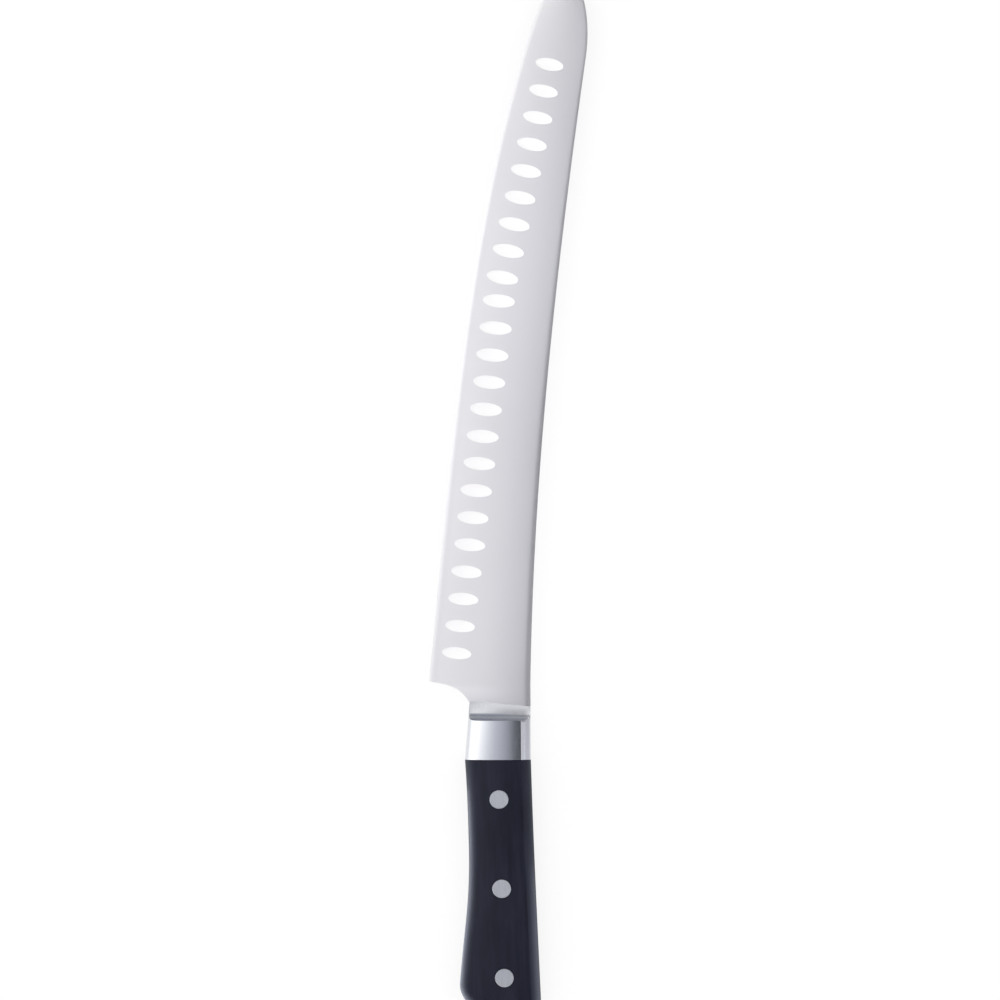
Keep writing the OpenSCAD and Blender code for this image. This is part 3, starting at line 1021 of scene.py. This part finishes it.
def scaleRows():
    # Every row is one line of points from the tang up the side and over to the middle
    steps = handle["profileSteps"]
    rim = halfHandle - handle["crown"]
    middleX = (topLeft + topRight) / 2
    outline = []
    for i in range(scales["sideSteps"] + 1):
        y = beakY * i / scales["sideSteps"]
        outline.append((Vector((bellyX(y), y)), y))
    outline += [(p, beakY) for p in buttOutline[1:-1]]
    for i in reversed(range(scales["sideSteps"] + 1)):
        y = beakY * i / scales["sideSteps"]
        outline.append((Vector((spineX(y), y)), y))
    rows = []
    for i, (p, middleY) in enumerate(outline):
        before = outline[max(0, i - 1)][0]
        after = outline[min(len(outline) - 1, i + 1)][0]
        along = (after - before).normalized()
        inward = Vector((-along.y, along.x))
        if middleY > beakY or i in (scales["sideSteps"], len(outline) - 1 - scales["sideSteps"]):
            inward = Vector((1 if p.x < 0 else -1, 0))
        share = smooth((p.x + handle["bellySide"]) / (handle["bellySide"] + handle["spineSide"]))
        profile = sideProfile(share, steps)
        row = [(p.x, p.y, halfTang)]
        for w, fall in profile[:-1]:
            q = p + inward * w
            row.append((q.x, q.y, rim - fall))
        pole = Vector((middleX, middleY))
        rimPoint = p + inward * profile[-1][0]
        top = []
        for k in range(1, handle["crownSteps"] + 1):
            t = k / handle["crownSteps"]
            q = mix(rimPoint, pole, t)
            top.append((q.x, q.y, halfHandle - crownDrop(1 - t)))
        row += rimArc(row[-1], (rimPoint.x, rimPoint.y, rim), top[0], share) + top
        rows.append([(x, y + seam(x) * max(0, 1 + y / handle["seamFade"]), z) for x, y, z in row])
    return rows


def makeScale(name, side):
    rows = scaleRows()
    width = len(rows[0])
    points = [(x, y, side * z) for row in rows for x, y, z in row]
    faces = []
    for i in range(len(rows) - 1):
        for j in range(width - 1):
            k = i * width + j
            faces.append((k, k + 1, k + width + 1, k + width))
    last = (len(rows) - 1) * width
    faces.append(tuple(i * width for i in range(len(rows))))
    faces.append(tuple(range(width)) + tuple(last + j for j in reversed(range(width - 1))))
    piece = meshObject(name, points, faces, [woodMaterial])
    tidyMesh(piece, 10)
    return piece


# Rivets: turned heads, instanced along the handle's axis and flush with the crowned scale

rivets = dict(chamfer=0.12, sunk=0.01, depth=4.0, sides=72)  # sunk below the crown's top


def rivetTree():
    tree = bpy.data.node_groups.new("rivetRow", "GeometryNodeTree")
    tree.interface.new_socket("Places", in_out="INPUT", socket_type="NodeSocketGeometry")
    for name in ("Radius", "Depth", "Chamfer"):
        tree.interface.new_socket(name, in_out="INPUT", socket_type="NodeSocketFloat")
    tree.interface.new_socket("Sides", in_out="INPUT", socket_type="NodeSocketInt")
    tree.interface.new_socket("Metal", in_out="INPUT", socket_type="NodeSocketMaterial")
    tree.interface.new_socket("Rivets", in_out="OUTPUT", socket_type="NodeSocketGeometry")
    link = tree.links.new
    start = newNode(tree, "NodeGroupInput", (-900, 0))
    end = newNode(tree, "NodeGroupOutput", (900, 0))
    head = newNode(tree, "GeometryNodeMeshCylinder", (-600, 200))
    link(start.outputs["Sides"], head.inputs["Vertices"])
    link(start.outputs["Radius"], head.inputs["Radius"])
    link(start.outputs["Depth"], head.inputs["Depth"])
    raised = newNode(tree, "GeometryNodeExtrudeMesh", (-350, 200), mode="FACES")
    link(head.outputs["Mesh"], raised.inputs["Mesh"])
    link(head.outputs["Top"], raised.inputs["Selection"])
    link(start.outputs["Chamfer"], raised.inputs["Offset Scale"])
    ratio = newNode(tree, "ShaderNodeMath", (-500, -350), operation="DIVIDE")
    link(start.outputs["Chamfer"], ratio.inputs[0])
    link(start.outputs["Radius"], ratio.inputs[1])
    factor = newNode(tree, "ShaderNodeMath", (-350, -350), {0: 1.0}, operation="SUBTRACT")
    link(ratio.outputs[0], factor.inputs[1])
    narrow = newNode(tree, "GeometryNodeScaleElements", (-100, 200))
    link(raised.outputs["Mesh"], narrow.inputs["Geometry"])
    link(raised.outputs["Top"], narrow.inputs["Selection"])
    link(factor.outputs[0], narrow.inputs["Scale"])
    put = newNode(tree, "GeometryNodeInstanceOnPoints", (150, 100))
    link(start.outputs["Places"], put.inputs["Points"])
    link(narrow.outputs[0], put.inputs["Instance"])
    real = newNode(tree, "GeometryNodeRealizeInstances", (400, 100))
    paint = newNode(tree, "GeometryNodeSetMaterial", (600, 100))
    link(put.outputs[0], real.inputs[0])
    link(real.outputs[0], paint.inputs["Geometry"])
    link(start.outputs["Metal"], paint.inputs["Material"])
    link(paint.outputs[0], end.inputs[0])
    return tree


rivetPattern = rivetTree()


def rivetRow(name, radius, depth, chamfer, topZ):
    # Three heads on the left side of the knife. The chamfer is raised on the outer face only.
    places = [(0, mix(rivetFirst, rivetLast, i / 2), topZ - chamfer - depth / 2) for i in range(3)]
    row = meshObject(name, places, [], [])
    applyNodes(row, rivetPattern, {
        "Radius": radius * mm,
        "Depth": depth * mm,
        "Chamfer": chamfer * mm,
        "Sides": rivets["sides"],
        "Metal": rivetMaterial,
    })
    return row


def drill(piece, cutter):
    modifier = piece.modifiers.new("holes", "BOOLEAN")
    modifier.operation = "DIFFERENCE"
    modifier.solver = "EXACT"
    modifier.object = cutter
    bpy.context.view_layer.update()
    depsgraph = bpy.context.evaluated_depsgraph_get()
    made = bpy.data.meshes.new_from_object(piece.evaluated_get(depsgraph), depsgraph=depsgraph)
    piece.modifiers.remove(modifier)
    piece.data = made
    bpy.data.objects.remove(cutter)


def flip(piece):
    # Turns a row upside down about the tang, for the knife's other side
    for vertex in piece.data.vertices:
        vertex.co.z = 2 * datum.z - vertex.co.z
    piece.data.flip_normals()


def makeSide(word, side, part):
    scale = makeScale("scale_" + word + "_wood", side)
    over = scales["drillOver"]
    cutter = rivetRow("holes", headRadius + scales["holeGap"], rivets["depth"] + over, scales["drillChamfer"],
                      halfHandle + over)
    heads = rivetRow("rivet_heads_" + word, headRadius, rivets["depth"], rivets["chamfer"],
                     halfHandle - rivets["sunk"])
    if side < 0:
        flip(cutter)
        flip(heads)
    drill(scale, cutter)
    tidyMesh(scale, 10)
    tidyMesh(heads, 20)
    finishPiece(scale, "handle_wood", "scale_" + word)
    finishPiece(heads, "rivet_metal", *[row + "_rivet_" + part for row in ("front", "middle", "rear")])


makeSide("left", 1, "stud")
makeSide("right", -1, "sleeve")
print("scales and rivets made")

# Floor, lights and camera

stage = dict(
    pixels=1000,
    photoScale=2.67,
    roll=1.702,
    centre=(3.71, 97.1),
    cameraHeight=4.0,
    floorSize=6.0,
    floorDrop=0.00005,
    floorGlow=0.82,
    floorTone=0.20,
    floorPlain=0.8,
    worldDiffuse=0.64,
    boxLeft=dict(place=(-0.75, 0.1, 1.0), size=(1.1, 1.6), radiance=1.2),
    boxRight=dict(place=(0.8, -0.1, 1.0), size=(0.9, 1.6), radiance=0.7),
)


def seenRay(tree):
    # 1 for the rays of the camera and those in metal and glass, 0 for the light that falls on things
    path = newNode(tree, "ShaderNodeLightPath", (-700, 0))
    seen = newNode(tree, "ShaderNodeMath", (-500, 0), operation="MAXIMUM")
    also = newNode(tree, "ShaderNodeMath", (-350, 0), operation="MAXIMUM")
    tree.links.new(path.outputs["Is Camera Ray"], seen.inputs[0])
    tree.links.new(path.outputs["Is Glossy Ray"], seen.inputs[1])
    tree.links.new(seen.outputs[0], also.inputs[0])
    tree.links.new(path.outputs["Is Transmission Ray"], also.inputs[1])
    return also.outputs[0]


def makeWorld():
    world = bpy.data.worlds.new("studio")
    bpy.context.scene.world = world
    world.use_nodes = True
    tree = world.node_tree
    background = tree.nodes["Background"]
    strength = newNode(tree, "ShaderNodeMapRange", (-200, 0),
                       {"To Min": stage["worldDiffuse"], "To Max": 1.0})
    tree.links.new(seenRay(tree), strength.inputs["Value"])
    tree.links.new(strength.outputs[0], background.inputs["Strength"])
    background.inputs["Color"].default_value = (1, 1, 1, 1)


def floorMaterial():
    material, tree, shader, coordinates = startMaterial("paleFloor")
    tree.nodes.remove(shader)
    tree.nodes.remove(coordinates)
    output = tree.nodes["Material Output"]
    plain = newNode(tree, "ShaderNodeBsdfDiffuse", (-300, -200),
                    {"Color": (*grey(stage["floorPlain"]), 1)})
    catcher = newNode(tree, "ShaderNodeBsdfDiffuse", (-300, -350),
                      {"Color": (*grey(stage["floorTone"]), 1)})
    glow = newNode(tree, "ShaderNodeEmission", (-300, -500), {"Strength": stage["floorGlow"]})
    white = newNode(tree, "ShaderNodeAddShader", (-100, -400))
    choose = newNode(tree, "ShaderNodeMixShader", (100, -100))
    tree.links.new(catcher.outputs[0], white.inputs[0])
    tree.links.new(glow.outputs[0], white.inputs[1])
    tree.links.new(seenRay(tree), choose.inputs["Fac"])
    tree.links.new(plain.outputs[0], choose.inputs[1])
    tree.links.new(white.outputs[0], choose.inputs[2])
    tree.links.new(choose.outputs[0], output.inputs["Surface"])
    return material


def makeFloor():
    half = stage["floorSize"] / 2
    mesh = bpy.data.meshes.new("floor")
    z = cadBounds[0][2] - stage["floorDrop"]
    corners = [(-half, -half, z), (half, -half, z), (half, half, z), (-half, half, z)]
    mesh.from_pydata(corners, [], [(0, 1, 2, 3)])
    mesh.materials.append(floorMaterial())
    floor = bpy.data.objects.new("floor", mesh)
    bpy.context.scene.collection.objects.link(floor)


def areaLight(name, place, size, radiance):
    # A rectangular soft box that looks at the knife
    light = bpy.data.lights.new(name, "AREA")
    light.shape = "RECTANGLE"
    light.size, light.size_y = size
    light.energy = radiance * math.pi * size[0] * size[1]
    lamp = bpy.data.objects.new(name, light)
    lamp.location = place
    lamp.rotation_euler = (-Vector(place)).to_track_quat("-Z", "Y").to_euler()
    lamp.visible_camera = False
    lamp.visible_glossy = False
    bpy.context.scene.collection.objects.link(lamp)


def glossCard(name, corner, side, other, strength, tones, fades=None):
    # A painted card that only reflections see. Its tones run along side, from its corner, and
    # its fades along the other side.
    corner, side, other = Vector(corner), Vector(side), Vector(other)
    mesh = bpy.data.meshes.new(name)
    mesh.from_pydata([corner, corner + side, corner + side + other, corner + other], [], [(0, 1, 2, 3)])
    material, tree, shader, coordinates = startMaterial(name)
    tree.nodes.remove(shader)

    def shareAlong(axis, y):
        along = newNode(tree, "ShaderNodeVectorMath", (-1100, y), {1: axis / axis.length_squared},
                        operation="DOT_PRODUCT")
        begin = newNode(tree, "ShaderNodeMath", (-900, y), {1: corner.dot(axis) / axis.length_squared},
                        operation="SUBTRACT")
        tree.links.new(coordinates.outputs["Object"], along.inputs[0])
        tree.links.new(along.outputs["Value"], begin.inputs[0])
        return begin.outputs[0]

    glow = newNode(tree, "ShaderNodeEmission", (0, 0), {"Strength": strength})
    colour = ramp(tree, shareAlong(side, 0), tones)
    if fades:
        faded = newNode(tree, "ShaderNodeVectorMath", (-200, 0), operation="MULTIPLY")
        tree.links.new(colour, faded.inputs[0])
        tree.links.new(ramp(tree, shareAlong(other, -300), fades, (-600, -300)), faded.inputs[1])
        colour = faded.outputs[0]
    tree.links.new(colour, glow.inputs["Color"])
    tree.links.new(glow.outputs[0], tree.nodes["Material Output"].inputs["Surface"])
    mesh.materials.append(material)
    card = bpy.data.objects.new(name, mesh)
    card.visible_camera = False
    card.visible_diffuse = False
    card.visible_transmission = False
    card.visible_shadow = False
    bpy.context.scene.collection.objects.link(card)


def tinted(tone, blue):
    return (tone / blue ** 0.5, tone / blue ** 0.3, tone * blue ** 0.5)


# The cards stand round the knife like a studio's. Tones and fades are given as (place in metres, light).
dim = (0.275, 0.292, 0.332)
rimGlow = (0.86, 0.91, 1.0)
cards = dict(
    height=1.2,
    half=1.6,
    back=-1.6,
    front=0.54,
    low=0.0005,
    overhead=dict(
        strength=3.0,
        middle=0.56,
        tones=[(-1.20, 1.20), (-0.45, 1.75), (-0.32, 1.20), (-0.18, tinted(0.86, 1.08)),
               (-0.08, tinted(0.66, 1.12)), (0.02, tinted(0.60, 1.14)), (0.16, tinted(0.48, 1.16)),
               (0.22, tinted(0.36, 1.18)), (0.28, tinted(0.08, 1.20)), (1.60, tinted(0.04, 1.20))],
        fades=[(-0.60, 0.52), (-0.26, 0.62), (-0.12, 0.90), (0.00, 1.38), (0.13, 1.56), (0.23, 1.00),
               (0.32, 0.55)],
    ),
    strip=dict(
        front=0.96,
        strength=2.0,
        tones=[(-0.30, 1.85), (-0.04, 1.24), (0.30, 1.08), (0.80, 1.1)],
        fades=[(0.66, 1.0), (0.74, 0.92), (0.80, 0.70), (0.86, 0.48), (0.95, 0.36)],
    ),
    far=dict(
        at=2.2,
        half=2.5,
        height=2.8,
        strength=2.0,
        tones=[(-2.0, 1.0), (-1.0, 0.7), (-0.6, 0.42), (-0.35, dim), (0.2, dim), (0.45, 0.32),
               (0.7, 0.45), (1.1, 0.70), (2.0, 1.0)],
        fades=[(0.7, 0.5), (1.2, 0.56), (2.1, 0.66), (2.7, 0.72)],
    ),
    lowAhead=dict(back=0.22, tones=[(-0.8, 0.50), (-0.3, dim), (0.3, dim), (0.8, 0.60)]),
    left=dict(strength=1.6, tones=[(0.0, 0.95), (0.4, 1.0)]),
    right=dict(
        tones=[(0.0, (0.74, 0.74, 0.78)), (1.2, (0.80, 0.80, 0.84))],
        fades=[(-0.10, 1.0), (-0.02, 0.3)],
    ),
    lowLeft=dict(
        upTo=-0.06,
        strength=1.5,
        tones=[(-1.6, (0.66, 0.67, 0.68)), (-0.2, (0.90, 0.91, 0.93))],
    ),
    lowRight=dict(
        start=0.015,
        tones=[(0.1, (0.64, 0.64, 0.68)), (1.6, (0.70, 0.70, 0.74))],
        fades=[(-0.10, 1.0), (-0.02, 0.5)],
    ),
    rims=dict(low=0.001, bellyUpTo=-0.028, bellyFront=-0.11, bellyStrength=4.4,
              spineStart=0.015, spineFront=-0.14, spineStrength=2.8),
    facet=dict(
        start=0.76,
        drop=0.01,
        front=-0.09,
        strength=1.6,
        tones=[(0.78, (0.80, 0.82, 0.88)), (0.86, (0.94, 0.95, 1.0))],
        fades=[(-0.16, 1.0), (-0.125, 0.76)],
    ),
)


def stops(low, high, tones, strength=1.0):
    # Places along a card from low to high, with the light of each
    found = []
    for place, tone in tones:
        colour = tone if isinstance(tone, tuple) else grey(tone)
        found.append(((place - low) / (high - low), tuple(c / strength for c in colour)))
    return found


def makeCards():
    c = cards
    half, back, front, height, low = c["half"], c["back"], c["front"], c["height"], c["low"]
    wide, deep = (2 * half, 0, 0), (0, front - back, 0)
    # Overhead: white on the left falls through grey to dark on the right
    card = c["overhead"]
    glossCard("overheadCard", (-half, back, height), wide, deep, card["strength"],
              stops(-half, half, card["tones"], card["strength"] * card["middle"]),
              stops(back, front, card["fades"], 1 / card["middle"]))
    # A lighter strip ahead, for the ramp behind the bolster's lip
    card = c["strip"]
    glossCard("stripCard", (-half, front, height), wide, (0, card["front"] - front, 0), card["strength"],
              stops(-half, half, card["tones"], card["strength"]),
              stops(front, card["front"], card["fades"]))
    # The far card and the low one keep the view along the blade dark, as the cove shows it
    card = c["far"]
    glossCard("farCard", (-card["half"], card["at"], 0), (2 * card["half"], 0, 0), (0, 0, card["height"]),
              card["strength"], stops(-card["half"], card["half"], card["tones"]),
              stops(0, card["height"], card["fades"]))
    ahead = c["lowAhead"]
    glossCard("lowAheadCard", (-half, ahead["back"], low), wide, (0, card["at"] - ahead["back"], 0), 1.0,
              stops(-half, half, ahead["tones"]))
    # Upright cards on both sides, and low ones
    card = c["left"]
    glossCard("leftCard", (-half, back, 0), (0, 0, height), deep, card["strength"],
              stops(0, height, card["tones"]))
    card = c["right"]
    glossCard("rightCard", (half, back, 0), (0, 0, height), deep, 1.0,
              stops(0, height, card["tones"]), stops(back, front, card["fades"]))
    card = c["lowLeft"]
    glossCard("lowLeftCard", (-half, back, low), (half + card["upTo"], 0, 0), deep, card["strength"],
              stops(-half, card["upTo"], card["tones"]))
    card = c["lowRight"]
    glossCard("lowRightCard", (card["start"], back, low), (half - card["start"], 0, 0), deep, 1.0,
              stops(card["start"], half, card["tones"]), stops(back, front, card["fades"]))
    # Cards that only the handle looks into, which light its rims
    rims = c["rims"]
    glow = [(0.0, rimGlow), (1.0, rimGlow)]
    glossCard("bellyCard", (-half, back, rims["low"]), (half + rims["bellyUpTo"], 0, 0),
              (0, rims["bellyFront"] - back, 0), rims["bellyStrength"], glow)
    glossCard("spineCard", (rims["spineStart"], back, rims["low"]), (half, 0, 0),
              (0, rims["spineFront"] - back, 0), rims["spineStrength"], glow)
    card = c["facet"]
    glossCard("facetCard", (card["start"], back, height - card["drop"]), (half - card["start"], 0, 0),
              (0, card["front"] - back, 0), card["strength"],
              stops(card["start"], half, card["tones"]), stops(back, card["front"], card["fades"]))


def makeCamera():
    data = bpy.data.cameras.new("camera")
    data.sensor_width = 36
    frameWidth = stage["pixels"] / stage["photoScale"] * mm
    data.lens = data.sensor_width * stage["cameraHeight"] / frameWidth
    data.clip_end = 50
    camera = bpy.data.objects.new("camera", data)
    x, y = stage["centre"]
    camera.location = (datum.x + x * mm, datum.y + y * mm, datum.z + stage["cameraHeight"])
    camera.rotation_euler = Euler((0, 0, -math.radians(stage["roll"])))
    bpy.context.scene.collection.objects.link(camera)
    bpy.context.scene.camera = camera


makeWorld()
makeFloor()
makeCards()
areaLight("softboxLeft", **stage["boxLeft"])
areaLight("softboxRight", **stage["boxRight"])
makeCamera()
bpy.context.scene.view_settings.view_transform = "Standard"
print("stage set")
